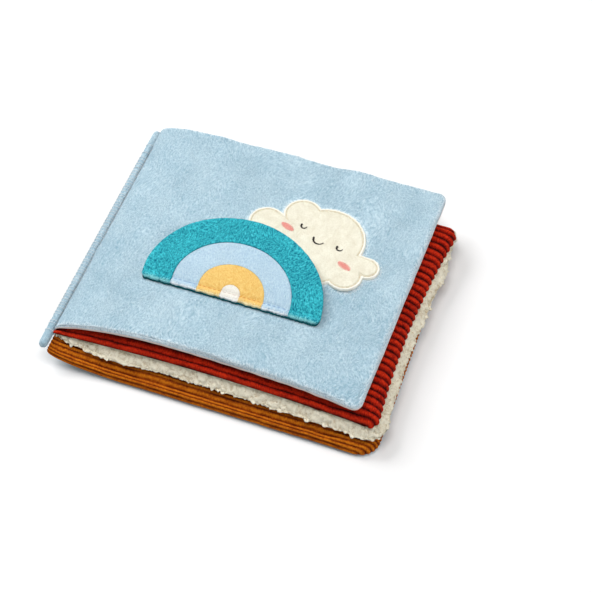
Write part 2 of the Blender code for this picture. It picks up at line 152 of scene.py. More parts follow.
# Rainbow flap
FLAP_RADIUS = 0.061
FLAP_RISE_SHARE = 0.92
FLAP_X_FROM_FORE = 0.1088
FLAP_Y_FROM_TAIL = 0.0520
HEM_DEPTH = 0.0042
HEM_CORNER = 0.0042
BAND = 0.0014
BACKING = 0.0010
BACKING_LIP = 0.0005
FLAP_FILM = 0.00025
FLAP_FILM_INSET = 0.006
FLAP_RIM = 0.003
FLAP_EASE = 0.012
FLAP_LIFT = 0.0036
FLAP_LEAN_SHARE = 0.06
BAND_SHARES = (0.104, 0.365, 0.66, 1.0)
STITCH_GROOVE = 0.0010
FLAP_CURL = 0.0006
HEM_FRAY = 0.0005
HEM_LEG_SHARES = (1.0, 0.985, 0.95, 0.88, 0.78, 0.64, 0.5, 0.36, 0.24, 0.12)
FLAP_TURNS = 150
INNER_ROUND = 0.0003
PLAIN_ROUND = 0.0006
BACKING_INSET = 0.0004
BACKING_STEP = 0.0009
BACKING_GRAIN = 0.00005
FLAP_FILM_STEP = 0.002
FLAP_FILM_CRUMPLE = 0.00004
BAND_STEP = 0.0006
SHORT_PILE = 0.00008
LONG_PILE = 0.00022
LONG_PILE_RAISE = 0.0006
LONG_PILE_ROUND = 0.0016

# Cloud and its face
CLOUD_WIDTH = 0.095
CLOUD_CLOTH = 0.0012
CLOUD_FLAT_SHARE = 0.66
CLOUD_X_FROM_FORE = 0.0715
CLOUD_Y_FROM_TAIL = 0.1115
CLOUD_STITCH_INSET = 0.0021
CLOUD_FRAY = 0.00035
CLOUD_RIM_END = 0.004
CLOUD_TURNS = 760
CLOUD_ROW_SHARES = (0.0, 0.2, 0.4, 0.55, 0.7, 0.8, 0.9)
FACE_TILT = math.radians(-20)
FACE_SHIFT = 0.0013
EYE_ARC = (math.radians(165), math.radians(210))
EYE_SPREAD = 0.0150
EYE_RAISE = 0.0053
EYE_RADIUS = 0.0021
SMILE_ARC = (math.radians(188), math.radians(165))
SMILE_RAISE = 0.0026
SMILE_RADIUS = 0.0040
CHEEK_SPREAD = 0.0247
CHEEK_SHIFT = 0.0015
CHEEK_DROP = 0.0032
CHEEK_FALL = 0.0011
CHEEK_LENGTH = 0.0104
CHEEK_WIDTH = 0.0052
CHEEK_SLANT = math.radians(62)
CHEEK_LINES = 11
LOBE_SHARES = (
    (-0.374, 0.056, 0.136),
    (-0.157, 0.201, 0.142),
    (0.066, 0.046, 0.278),
    (0.407, -0.102, 0.092),
    (0.276, -0.207, 0.132),
    (0.080, -0.175, 0.180),
    (-0.215, -0.110, 0.165),
)

# Stitches: the radius of each thread, and the length and gap of those in a row
THREAD_RADIUS = 0.00045
SATIN_THREAD = 0.00036
SPINE_THREAD = 0.00022
EDGE_STITCHES = (0.0021, 0.0007, 0.00022)
FLAP_STITCHES = (0.0024, 0.0009, 0.00028)
FLAP_STITCHES_INSET = 0.003
SPINE_STITCH_STEP = 0.0075
SPINE_STITCH_INSET = 0.004
SPINE_STITCH_REACH = 0.0018

SPINE_EDGE = SPINE_RADIUS + CLEARANCE


@dataclass
class Leaf:
    """One leaf: its plan, its padding and the two cloths that are sewn together round its rim."""

    body: str
    middle: float
    depth: float
    reach: float
    corner: float
    loft: float
    low_share: float
    top_cloth: float
    low_cloth: float
    tail_draw: float
    fore_draw: float = 0.0
    fore_slant: float = 0.0
    ripple: float = 0.0
    roll: float = 0.0

    @property
    def pinch(self):
        """Thickness at the spine seam, where the two cloths are pressed together."""
        return PRESSED_SHARE * (self.top_cloth + self.low_cloth) + CLEARANCE

    def side_height(self, upper):
        """How far one of the cloths climbs from the rim's seam to its full height."""
        return (self.loft - self.pinch) * (1.0 - self.low_share if upper else self.low_share)


BACK = Leaf("back_cover", 0.0, COVER_DEPTH, BACK_REACH, 0.013, 0.0105, 0.16, CORDUROY, PLUSH, 0.0008)
PAGE = Leaf("middle_leaf", PAGE_SLIP, PAGE_DEPTH, PAGE_REACH, 0.0075, 0.0170, 0.46, CORDUROY, FLEECE,
            0.0037, 0.0055, 0.0068, roll=ROLL)
FRONT = Leaf("front_cover", PAGE_SLIP + COVER_SLIP, COVER_DEPTH, COVER_REACH, 0.0065, 0.0085, 0.46, PLUSH,
             LINING, 0.0064, 0.0, 0.0051, 0.0012)
STACK = (BACK, PAGE, FRONT)
PINCHED_STACK = sum(leaf.pinch for leaf in STACK) + 2 * CLEARANCE


@dataclass
class Spot:
    """A place on a cloth: its outside, its inside, its distances along and across the cloth."""

    outside: Vector
    inside: Vector
    along: float
    across: float
    inset: float


def rise(share):
    """A quarter round from 0 to 1: steep at a seam, level where the padding is full."""
    share = min(max(share, 0.0), 1.0)
    return math.sqrt(1.0 - (1.0 - share) ** 2)


def bow(share):
    """0 at both ends of a side and 1 at its middle."""
    return 4.0 * share * (1.0 - share)


def ease(share):
    """0 to 1, level at both ends."""
    share = min(max(share, 0.0), 1.0)
    return share * share * (3.0 - 2.0 * share)


def bump_at(distance, width):
    """1 on a line and next to nothing a few widths from it."""
    return math.exp(-0.5 * (distance / width) ** 2)


def fullness(x):
    """Share of the full loft at a distance from the spine."""
    return rise((x - HINGE_X - SPINE_EDGE) / TAPER)


def crown(x, y):
    """Height of the stack here as a share of its full height: domed, with slow waves."""
    along = x / (BACK_REACH / 2)
    across = (y - PAGE_SLIP) / (COVER_DEPTH / 2)
    wave = math.sin(math.tau * x / WAVE_LENGTH) * math.cos(math.tau * y / WAVE_LENGTH)
    return 1.0 - CROWN_SHARE * (along ** 2 + across ** 2) / 2 + WAVE_SHARE * wave


def leaf_span(leaf, x, y):
    """Heights of a leaf's underside and top, found by piling the leaves up from the table."""
    full = fullness(x)
    low = (HINGE_Z - PINCHED_STACK / 2) * (1.0 - full)
    for other in STACK:
        swell = full * (1.0 + (crown(x, y) - 1.0) * full)
        high = low + other.pinch + (other.loft - other.pinch) * swell
        if other is leaf:
            return low, high
        low = high + CLEARANCE


def cloth_levels(leaf, x, y, inset, full_by=RIM):
    """Heights of a leaf's four cloth faces: upper outside, upper inside, lower inside, lower outside."""
    low, high = leaf_span(leaf, x, y)
    puff = rise(inset / full_by)
    spare = high - low - leaf.pinch
    gap = CLEARANCE / 2 * puff
    turned = rise(inset / EDGE_ROUND)
    top_seam = PRESSED_SHARE * leaf.top_cloth * turned
    low_seam = PRESSED_SHARE * leaf.low_cloth * turned
    seam = low + PRESSED_SHARE * leaf.low_cloth + CLEARANCE / 2 + leaf.low_share * spare
    fade = max(1.0 - inset / PADDING_INSET, 0.0) ** 2
    seam += leaf.ripple * fullness(x) * fade * math.sin(math.pi * x / RIPPLE_LENGTH) ** 2
    top = seam + CLEARANCE / 2 + top_seam + (1.0 - leaf.low_share) * spare * puff
    bottom = seam - CLEARANCE / 2 - low_seam - leaf.low_share * spare * puff
    soft = PRESSED_SHARE + (1.0 - PRESSED_SHARE) * puff * fullness(x)
    top_inside = max(top - soft * leaf.top_cloth, seam + gap)
    low_inside = min(bottom + soft * leaf.low_cloth, seam - gap)
    return top, top_inside, low_inside, bottom


def round_corner(across, along, radius):
    """Carry a spot of a square corner onto a round one, and give its distance from the outline."""
    if across >= radius or along >= radius:
        return across, along, min(across, along)
    a = 1.0 - across / radius
    b = 1.0 - along / radius
    a, b = a * math.sqrt(1.0 - b * b / 2), b * math.sqrt(1.0 - a * a / 2)
    return radius * (1.0 - a), radius * (1.0 - b), radius * (1.0 - math.hypot(a, b))


def rim_arc(inset, height):
    """Length of cloth from the seam, up the rounded rim, to a distance in from it."""
    turn = math.acos(1.0 - min(max(inset, 0.0) / RIM, 1.0))
    arc = (RIM + height) / 2 * turn + (height - RIM) / 4 * math.sin(2 * turn)
    return arc + max(inset - RIM, 0.0)


def rolled_rim(leaf, x, y, fore, side, inset):
    """How far a thick cloth rolls out past its seam here: along X, and outward along Y."""
    turn = math.acos(1.0 - min(max(inset, 0.0) / RIM, 1.0))
    loose = 1.0 + 0.15 * noise.noise(Vector((x, y, 0.0)) / 0.022)
    far = leaf.roll * math.sin(2 * turn) * fullness(x) * loose
    if fore < leaf.corner and side < leaf.corner:
        away = Vector((leaf.corner - fore, leaf.corner - side)).normalized()
    else:
        away = Vector((1.0, 0.0)) if fore < side else Vector((0.0, 1.0))
    fore = FORE_ROLL_SHARE + (HEAD_ROLL_SHARE - FORE_ROLL_SHARE) * ease((y - ROLL_FADE_START) / ROLL_FADE)
    far *= 1.0 + (fore - 1.0) * away.x ** 2
    return far * away.x, far * away.y


def leaf_spot(leaf, u, v, upper, full_by=RIM):
    """A spot of one of a leaf's cloths, u from the hinge line and v from the tail."""
    from_far = v > leaf.depth / 2
    side = leaf.depth - v if from_far else v
    fore, side, inset = round_corner(leaf.reach - u, side, leaf.corner)
    u = leaf.reach - fore
    v = leaf.depth - side if from_far else side
    share = v / leaf.depth
    pull = (leaf.fore_draw * bow(share) + leaf.fore_slant * (1.0 - share)) / (leaf.reach - SPINE_EDGE)
    x = HINGE_X + SPINE_EDGE + (u - SPINE_EDGE) * (1.0 - pull)
    sway = bow(u / leaf.reach) * (leaf.tail_draw * (1.0 - share) - HEAD_DRAW * share)
    y = leaf.middle - leaf.depth / 2 + v + sway
    levels = cloth_levels(leaf, x, y, inset, full_by)
    outside, inside = levels[:2] if upper else levels[:1:-1]
    height = leaf.side_height(upper)
    half = rim_arc(leaf.depth / 2, height) - rim_arc(side, height)
    along = leaf.reach - rim_arc(fore, height)
    spot = Spot(Vector((x, y, outside)), Vector((x, y, inside)), along, half if from_far else -half, inset)
    if leaf.roll and not upper:
        out_x, out_y = rolled_rim(leaf, x, y, fore, side, inset)
        spot.outside.x += out_x
        spot.outside.y += out_y if from_far else -out_y
    return spot


def rim_insets(turns):
    """Distances in from a rim, evenly spaced round its quarter turn."""
    return [RIM * (1.0 - math.cos(math.pi / 2 * turn / turns)) for turn in range(turns + 1)]


def leaf_lines(leaf, along_step, across_step, rim_turns, start=SPINE_EDGE, inset=0.0):
    """Grid lines of a leaf's cloth: close together on its rounded rims, even between them."""
    rims = [distance for distance in rim_insets(rim_turns) if distance >= inset - CLEARANCE / 2]
    taper_turns = round(TAPER / along_step)
    taper = [SPINE_EDGE + TAPER * (1.0 - math.cos(math.pi / 2 * turn / taper_turns))
             for turn in range(taper_turns + 1)]
    first, last = SPINE_EDGE + TAPER, leaf.reach - RIM
    steps = round((last - first) / along_step)
    along = [u for u in taper if u >= start - CLEARANCE / 2]
    along += [first + (last - first) * step / steps for step in range(1, steps)]
    along += [leaf.reach - distance for distance in reversed(rims)]
    steps = round((leaf.depth - 2 * RIM) / across_step)
    across = rims + [RIM + (leaf.depth - 2 * RIM) * step / steps for step in range(1, steps)]
    across += [leaf.depth - distance for distance in reversed(rims)]
    return along, across


def roll_out(inset, depth, end=1.2):
    """How far a padded rim bulges past its seam, a distance in from it."""
    turn = math.acos(1.0 - min(max(inset, 0.0) / RIM, 1.0))
    return depth * math.sin(math.pi * turn / end) if turn < end else 0.0


def finish_mesh(bm, name, material):
    """A shaded object from a bmesh whose vertices carry their place along and across the cloth."""
    along = bm.verts.layers.float.get("along")
    across = bm.verts.layers.float.get("across")
    if along is not None:
        uv = bm.loops.layers.uv.new("cloth")
        for face in bm.faces:
            for loop in face.loops:
                loop[uv].uv = (loop.vert[along], loop.vert[across])
    mesh = bpy.data.meshes.new(name)
    bm.to_mesh(mesh)
    bm.free()
    mesh.shade_smooth()
    mesh.materials.append(material)
    piece = bpy.data.objects.new(name, mesh)
    bpy.context.scene.collection.objects.link(piece)
    return piece


def dress(piece, body, slot, *nodes):
    """Fix a piece to its body and hide the solids that it stands for; its colour slot is not used."""
    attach(piece, body)
    if nodes:
        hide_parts(*nodes)


def cloth(name, rows, columns, place, relief, material, face_down=False):
    """A closed layer of cloth: a grid laid out by place(), raised along its normals by relief()."""
    bm = bmesh.new()
    bmesh.ops.create_grid(bm, x_segments=len(rows) - 1, y_segments=len(columns) - 1, size=1)
    along = bm.verts.layers.float.new("along")
    across = bm.verts.layers.float.new("across")
    height = bm.verts.layers.float.new("height")
    inside = bm.verts.layers.float_vector.new("inside")
    spots = []
    for vert in bm.verts:
        row = round((vert.co.x + 1) / 2 * (len(rows) - 1))
        column = round((vert.co.y + 1) / 2 * (len(columns) - 1))
        spot = place(rows[row], columns[column])
        vert.co = spot.outside
        vert[inside] = spot.inside
        vert[along] = spot.along
        vert[across] = spot.across
        spots.append(spot)
    if face_down:
        bmesh.ops.reverse_faces(bm, faces=bm.faces)
    bm.normal_update()
    for vert, spot in zip(bm.verts, spots):
        lift, vert[height] = relief(spot)
        vert.co += vert.normal * lift
    bmesh.ops.remove_doubles(bm, verts=bm.verts, dist=CLEARANCE / 20)
    grown = bmesh.ops.extrude_face_region(bm, geom=bm.faces[:], use_keep_orig=True)
    for vert in (item for item in grown["geom"] if isinstance(item, bmesh.types.BMVert)):
        vert.co = vert[inside]
    bmesh.ops.recalc_face_normals(bm, faces=bm.faces)
    if bm.calc_volume(signed=True) < 0.0:
        bmesh.ops.reverse_faces(bm, faces=bm.faces)
    return finish_mesh(bm, name, material)


def clumps(place, size):
    """Round tufts of pile: 1 on the crest of a tuft and 0 in the creases between them."""
    nearest, second = noise.voronoi(place / size)[0][:2]
    return min(max((second - nearest) * 1.6, 0.0), 1.0)


class Wire:
    """A shader socket: sums and products of wires add their Math nodes."""

    def __init__(self, socket):
        self.socket = socket

    def node(self, kind, settings=None, sockets=None, output=0):
        """Add a node: its settings first, then the values or wires of its sockets."""
        made = self.socket.id_data.nodes.new(kind)
        for setting, value in (settings or {}).items():
            if setting == "steps":
                made.color_ramp.interpolation = "CONSTANT"
                while len(made.color_ramp.elements) < len(value):
                    made.color_ramp.elements.new(1.0)
                for element, (position, colour) in zip(made.color_ramp.elements, value):
                    element.position, element.color = position, colour
            else:
                setattr(made, setting, value)
        for socket, value in (sockets or {}).items():
            if isinstance(value, Wire):
                self.socket.id_data.links.new(value.socket, made.inputs[socket])
            else:
                made.inputs[socket].default_value = value
        return Wire(made.outputs[output])

    def math(self, operation, first, second=0.0, clamp=False):
        return self.node("ShaderNodeMath", {"operation": operation, "use_clamp": clamp},
                         {0: first, 1: second})

    def __add__(self, other):
        return self.math("ADD", self, other)

    __radd__ = __add__

    def __sub__(self, other):
        return self.math("SUBTRACT", self, other)

    def __rsub__(self, other):
        return self.math("SUBTRACT", other, self)

    def __mul__(self, other):
        return self.math("MULTIPLY", self, other)

    __rmul__ = __mul__

    def __truediv__(self, other):
        return self.math("DIVIDE", self, other)

    def clamped(self):
        return self.math("ADD", self, 0.0, clamp=True)

    def stepped(self, low, high):
        """0 below low, 1 above high, smooth between."""
        return self.node("ShaderNodeMapRange", {"interpolation_type": "SMOOTHSTEP"},
                         {"Value": self, "From Min": low, "From Max": high})

    def noise(self, scale, detail=2.0, roughness=0.5, distortion=0.0, output=0):
        """Noise over this wire's coordinates."""
        return self.node("ShaderNodeTexNoise", {}, {"Vector": self, "Scale": scale, "Detail": detail,
                         "Roughness": roughness, "Distortion": distortion}, output)

    def stretched(self, x, y, z):
        """These coordinates, scaled on each axis."""
        return self.node("ShaderNodeVectorMath", {"operation": "MULTIPLY"}, {0: self, 1: (x, y, z)})

    def swirled(self, scale, amount):
        """These coordinates, pushed about by slow noise."""
        push = self.noise(scale, detail=1.0, output=1)
        centred = self.node("ShaderNodeVectorMath", {"operation": "SUBTRACT"}, {0: push, 1: (0.5, 0.5, 0.5)})
        scaled = self.node("ShaderNodeVectorMath", {"operation": "SCALE"}, {0: centred, "Scale": amount})
        return self.node("ShaderNodeVectorMath", {"operation": "ADD"}, {0: self, 1: scaled})

    def between(self, low, high):
        """A colour mixed from two, plain or wires, by this wire's value."""
        return self.node("ShaderNodeMix", {"data_type": "RGBA"}, {0: self, 6: low, 7: high}, output=2)

    def raised(self, distance):
        """The surface normal over bumps of this height."""
        return self.node("ShaderNodeBump", {}, {"Strength": 1.0, "Distance": distance, "Height": self})

    def seen_straight(self):
        """1 for rays that the eye follows, also off gloss or through film, and 0 for the other light."""
        rays = [self.node("ShaderNodeLightPath", output=name)
                for name in ("Is Camera Ray", "Is Glossy Ray", "Is Transmission Ray")]
        return (rays[0] + rays[1] + rays[2]).clamped()


def srgb(red, green, blue):
    """A colour seen as steps of 0 to 255, as the linear values that a shader takes."""
    def linear(step):
        share = step / 255
        return share / 12.92 if share <= 0.04045 else ((share + 0.055) / 1.055) ** 2.4
    return linear(red), linear(green), linear(blue), 1.0


def new_finish(name, roughness, sheen=0.0):
    """A material and its shader, with the values that are the same all over set."""
    material = bpy.data.materials.new(name)
    material.use_nodes = True
    shader = material.node_tree.nodes["Principled BSDF"]
    shader.inputs["Roughness"].default_value = roughness
    shader.inputs["Sheen Weight"].default_value = sheen
    shader.inputs["Sheen Roughness"].default_value = 0.5
    shader.inputs["Sheen Tint"].default_value = (1.0, 1.0, 1.0, 1.0)
    shader.inputs["Specular IOR Level"].default_value = 0.1
    coordinates = material.node_tree.nodes.new("ShaderNodeTexCoord")
    return material, shader, Wire(coordinates.outputs["Object"])


def feed(shader, colour, normal=None, roughness=None):
    """Link what changes over the surface to the shader."""
    links = shader.id_data.links
    links.new(colour.socket, shader.inputs["Base Color"])
    if normal:
        links.new(normal.socket, shader.inputs["Normal"])
    if roughness:
        links.new(roughness.socket, shader.inputs["Roughness"])


def on_cloth(place):
    """Coordinates along and across the cloth itself."""
    return place.node("ShaderNodeUVMap", {"uv_map": "cloth"})


def height_of(place):
    """The height value that the mesh gives each point: 0 in a groove or crease and 1 on a crest, which the
    finishes turn into painted shade and painted light; on plush it also carries painted highlights.
    """
    return place.node("ShaderNodeAttribute", {"attribute_name": "height"}, output=2)


def plush_finish(name, light, dark, tip, strand=1000.0, patch=0.8, contrast=2.2, depth=0.0012, sheen=0.08):
    """Short brushed pile: strokes of fibre that lean one way or another, in slow lighter and darker
    patches, and its pale tip colour where the mesh's height value is high, which carries painted highlights."""
    material, shader, place = new_finish(name, 0.95, sheen)
    height = height_of(place)
    lean = place.swirled(22.0, 0.030).swirled(90.0, 0.004)
    strokes = lean.stretched(1.0, 0.5, 1.0).noise(strand, 2.0, 0.6)
    fibres = place.noise(strand * 1.8, 2.0, 0.7)
    brushed = place.swirled(20.0, 0.02).noise(36.0, 3.0, 0.5)
    grain = (strokes - 0.5) * contrast + (fibres - 0.5) * (0.7 * contrast)
    tone = (0.5 + grain + (brushed - 0.5) * patch).clamped()
    # Pale tip colour where the height value is high: painted highlights on the cover's rim, round the cloud
    # and on the flap's hem
    colour = (height + grain * 0.5).stepped(0.6, 1.2).between(tone.between(dark, light), tip)
    feed(shader, colour, (strokes + fibres * 0.5).raised(depth))
    return material


def corduroy_finish(name, crest, flank, groove, fibre=1300.0):
    """Cut pile on rounded wales, its fibres across them, with painted shade down in the grooves between them
    and painted light on their crests.
    """
    material, shader, place = new_finish(name, 0.95, 0.0)
    height = height_of(place)
    tufts = on_cloth(place).stretched(1.0, 0.35, 1.0).noise(fibre, 3.0, 0.7)
    worn = place.noise(150.0, 3.0, 0.65)
    depth = height + (tufts - 0.5) * 1.5 + (worn - 0.5) * 0.9
    # Colour from the mesh's height: painted shade in the grooves and painted light on the crests
    colour = depth.stepped(0.60, 1.25).between(depth.stepped(0.10, 0.80).between(groove, flank), crest)
    feed(shader, colour, tufts.raised(0.0009))
    return material


def fleece_finish(name, crest, crease):
    """Curly fleece: small ropes of fibre that twist over each other, with painted shade between the tufts and
    painted light on their crests.
    """
    material, shader, place = new_finish(name, 1.0, 0.2)
    height = height_of(place)
    curls = place.swirled(300.0, 0.0035).noise(560.0, 4.0, 0.65, 0.8)
    slow = place.noise(120.0, 2.0, 0.5)
    # The mesh's height gives painted shade in the creases between tufts and painted light on their crests
    tone = height * 0.8 + (curls - 0.5) * 2.4 + (slow - 0.5) * 0.5 + 0.42
    feed(shader, tone.stepped(0.0, 0.85).between(crease, crest), curls.raised(0.0011))
    return material


def woven_finish(name, light, dark):
    """Plain woven cloth, its threads over and under each other, 1700 to the metre."""
    material, shader, place = new_finish(name, 0.85, 0.05)
    split = on_cloth(place)
    parts = [split.node("ShaderNodeSeparateXYZ", {}, {0: split}, output=axis) for axis in (0, 1)]
    warp, weft = (part.math("SINE", part * (1700.0 * math.tau)) for part in parts)
    weave = (warp * weft + 1.0) * 0.5
    slow = place.noise(160.0, 3.0, 0.6)
    tone = (weave * 0.5 + (slow - 0.5) * 0.7 + 0.25).clamped()
    feed(shader, tone.between(dark, light), weave.raised(0.00015))
    return material


def velvet_finish(name, light, dark, edge):
    """Short dense velvet, with a painted highlight along its rolled edge and painted shade down in the seam
    inside that.
    """
    material, shader, place = new_finish(name, 0.95, 0.1)
    height = height_of(place)
    pile = place.noise(1000.0, 3.0, 0.65)
    brushed = place.swirled(70.0, 0.015).stretched(1.0, 0.5, 1.0).noise(260.0, 3.0, 0.6)
    # The height value gives painted shade in the stitch groove and a painted highlight on the rolled edge
    tone = 0.3 + height * 0.5 + (pile - 0.5) * 0.9 + (brushed - 0.5) * 1.2
    rolled = (height + (pile - 0.5) * 0.8).stepped(0.75, 1.25)
    colour = rolled.between(tone.clamped().between(dark, light), edge)
    feed(shader, colour, (pile * 0.6 + brushed * 0.5).raised(0.0008))
    return material


def thread_finish(name, light, dark):
    """Twisted thread with a low sheen."""
    material, shader, place = new_finish(name, 0.55, 0.1)
    twist = place.stretched(1.0, 1.6, 1.0).noise(2600.0, 2.0, 0.6)
    feed(shader, twist.stepped(0.3, 0.7).between(dark, light), twist.raised(0.0002))
    return material


def wadding_finish(name):
    """Loose polyester wadding."""
    material, shader, place = new_finish(name, 1.0, 0.4)
    tangle = place.swirled(150.0, 0.006).noise(420.0, 4.0, 0.65)
    feed(shader, tangle.between(srgb(225, 225, 222), srgb(246, 246, 244)), tangle.raised(0.0015))
    return material


def film_finish(name):
    """Thin clear film, crumpled into small facets."""
    material, shader, place = new_finish(name, 0.22)
    facets = place.node("ShaderNodeTexVoronoi", {"feature": "DISTANCE_TO_EDGE"},
                        {"Vector": place.swirled(60.0, 0.01), "Scale": 130.0})
    feed(shader, facets.stepped(0.0, 0.4).between(srgb(200, 208, 212), srgb(236, 240, 242)),
         facets.raised(0.0015), facets.stepped(0.0, 0.3) * 0.15 + 0.15)
    return material


def open_ground(x, y):
    """0 on and near the flap and the cloud, and 1 on the rest of the cover."""
    aside, up = abs(x - FLAP_X), y - FLAP_Y
    if up > 0.0:
        from_flap = math.hypot(aside, up / FLAP_RISE_SHARE) - FLAP_RADIUS
    else:
        from_flap = math.hypot(max(aside - FLAP_RADIUS, 0.0), max(-up - HEM_DEPTH, 0.0))
    from_cloud = math.hypot(x - CLOUD_X, (y - CLOUD_Y) / CLOUD_FLAT_SHARE) - CLOUD_WIDTH / 2
    return ease(min(from_flap, from_cloud) / GROUND_FADE)


def cloud_halo_highlight(x, y):
    """1 just outside the cloud's edge, where a pale halo is painted on the pile as a painted highlight, and 0
    elsewhere.
    """
    aside, up = x - CLOUD_X, y - CLOUD_Y
    return bump_at(math.hypot(aside, up) - cloud_radius(math.atan2(up, aside)) - 0.0008, 0.0011)


def tail_side(spot):
    """1 along the tail of the cover and 0 from its middle on."""
    return ease(-spot.across / COVER_DEPTH * 2.2)


def near_corner(place):
    """1 at the front cover's loose corner, at the tail of its fore edge, and 0 a few folds from it."""
    away = math.hypot(place.x - HINGE_X - COVER_REACH, place.y - FRONT.middle + COVER_DEPTH / 2)
    return ease(1.0 - away / CORNER_FOLDS)


def padded_relief(depth, roll):
    """Relief of a brushed cloth over padding: slow unevenness, and a rim that rolls past its seam."""
    def relief(spot):
        place = spot.outside
        slow = noise.noise(place / 0.016) * 0.5 + noise.noise(place / 0.007) * 0.3
        pile = noise.noise(place / 0.0016)
        seam = Vector((spot.along, spot.across, spot.inset * 0.3))
        pucker = bump_at(spot.inset - 0.0045, 0.0028) * noise.noise(seam / 0.0065)
        lift = depth * (slow + 0.5 * pile) - depth + 0.0007 * pucker
        return lift + roll_out(spot.inset, roll), 0.5
    return relief


def cover_relief(spot):
    """Relief of the front cover: padded, in low hills, crumpled and folded at its loose corner, with painted
    highlights along its rim and round the cloud.
    """
    place = spot.outside
    lift, height = padded_relief(0.00025, 0.0003)(spot)
    swell = noise.noise(place / 0.027) + 0.5 * noise.noise(place / 0.012) - 0.3
    lift += HILLS * swell * open_ground(place.x, place.y)
    corner = near_corner(place)
    lift -= FOLD_DEPTH * bump_at(spot.inset - FOLD_INSET, FOLD_WIDTH) * corner * tail_side(spot)
    lift += CRUMPLE * corner * (noise.noise(place / 0.006) - 0.3)
    # Painted highlight: the pile's pale tip colour along the rim, and a pale halo just outside the cloud
    height += 0.5 * ease(1.0 - spot.inset / RIM_HIGHLIGHT_BAND) + 0.5 * cloud_halo_highlight(place.x, place.y)
    return lift, height


def wale_relief(wales):
    """Relief of corduroy: round wales along X, with a narrow groove between each two."""
    pitch, height, power, shift = wales

    def relief(spot):
        place = spot.outside
        sway = noise.noise(place / 0.030) * 0.18 + noise.noise(place / 0.008) * 0.10
        profile = abs(math.sin(math.pi * ((spot.across + shift) / pitch + sway))) ** power
        pile = noise.noise(Vector((spot.along / 0.0016, spot.across / 0.0012, 0.0)))
        slow = noise.noise(place / 0.012)
        free = 1.0 - rise(spot.inset / RIM)
        lift = height * (profile - 1.0) * (1.0 - 0.8 * free) + 0.9 * height * profile * free
        # The second value sets the colour: low in the grooves for painted shade, high on the crests for
        # painted light
        return lift + 0.00010 * pile - 0.0001 + 0.00010 * slow, profile + 0.12 * pile
    return relief


def fleece_relief(spot):
    """Relief of curly fleece: tufts, and a thick rim that bulges past the seam above it."""
    place = spot.outside
    pushed = place + 0.0012 * noise.noise_vector(place / 0.004)
    lumps = noise.noise(place / 0.0065)
    tuft = clumps(pushed, 0.0034) * 0.65 + clumps(pushed, 0.0015) * 0.35
    loose = ease(1.0 - spot.inset / RIM)
    lift = (0.0011 + 0.0012 * loose) * (tuft - 1.0) + 0.0010 * loose * (tuft + lumps)
    # The second value sets the colour: low in the creases between tufts for painted shade
    return lift, tuft + 0.3 * lumps * loose


def lining_relief(spot):
    """Relief of the smooth lining: slight unevenness, and a thin rolled edge."""
    slow = noise.noise(spot.outside / 0.014)
    folds = noise.noise(Vector((spot.along, spot.across, 0.0)) / 0.009)
    edge = LINING_ROLL * (1.0 + 0.5 * folds)
    return 0.0002 * slow - 0.0002 + roll_out(spot.inset, edge, 0.9), 0.5 + 0.5 * slow


def leaf_cloth(leaf, part, upper, relief, material, grid, node, slot):
    """One of a leaf's two cloths, over its rounded rim."""
    rows, columns = leaf_lines(leaf, *grid)

    def place(u, v):
        spot = leaf_spot(leaf, u, v, upper, COVER_RIM if leaf is FRONT and upper else RIM)
        if leaf is BACK and not upper:
            cut = FLAT_CUT * rise(spot.inset / RIM) * crown(spot.outside.x, spot.outside.y)
            spot.outside.z = max(spot.outside.z - cut * fullness(spot.outside.x), 0.0)
        if leaf is not FRONT and upper:
            channel = CHANNEL_DEPTH * bump_at(min(v, leaf.depth - v) - CHANNEL_INSET, CHANNEL_WIDTH)
            channel *= ease((leaf.reach - u - CHANNEL_END) / CHANNEL_FADE) * fullness(spot.outside.x)
            spot.outside.z -= channel
            spot.inside.z -= channel
        return spot

    piece = cloth(f"{leaf.body}_{part}", rows, columns, place, relief, material, not upper)
    dress(piece, leaf.body, slot, node)


def filling_spot(leaf, u, v):
    """A spot inside a leaf, and the heights of its cloths' four faces there."""
    spot = leaf_spot(leaf, u, v, True)
    return spot, cloth_levels(leaf, spot.outside.x, spot.outside.y, spot.inset)


def leaf_wadding(leaf, material):
    """The wadding in a leaf."""
    def place(u, v):
        spot, levels = filling_spot(leaf, u, v)
        spot.outside.z = levels[1] - (2 * CLEARANCE + FILM)
        spot.inside.z = levels[2] + CLEARANCE
        return spot

    def relief(spot):
        return 0.0003 * noise.noise(spot.outside / 0.012) - 0.0003, 0.5

    rows, columns = leaf_lines(leaf, *WADDING_GRID, PADDING_START, PADDING_INSET)
    piece = cloth(f"{leaf.body}_wadding", rows, columns, place, relief, material)
    dress(piece, leaf.body, "padding", f"{leaf.body}_padding")


def leaf_film(leaf, material):
    """The film that crinkles, over a leaf's wadding."""
    def place(u, v):
        spot, levels = filling_spot(leaf, u, v)
        spot.outside.z = levels[1] - CLEARANCE
        spot.inside.z = spot.outside.z - FILM
        return spot

    def relief(spot):
        nearest, second = noise.voronoi(spot.outside / 0.011)[0][:2]
        return 0.0004 * (min(second - nearest, 0.5) - 0.5), second - nearest

    rows, columns = leaf_lines(leaf, *FILM_GRID, PADDING_START, PADDING_INSET)
    piece = cloth(f"{leaf.body}_rustling_film", rows, columns, place, relief, material)
    dress(piece, leaf.body, "crinkle_film", f"{leaf.body}_crinkle_film")


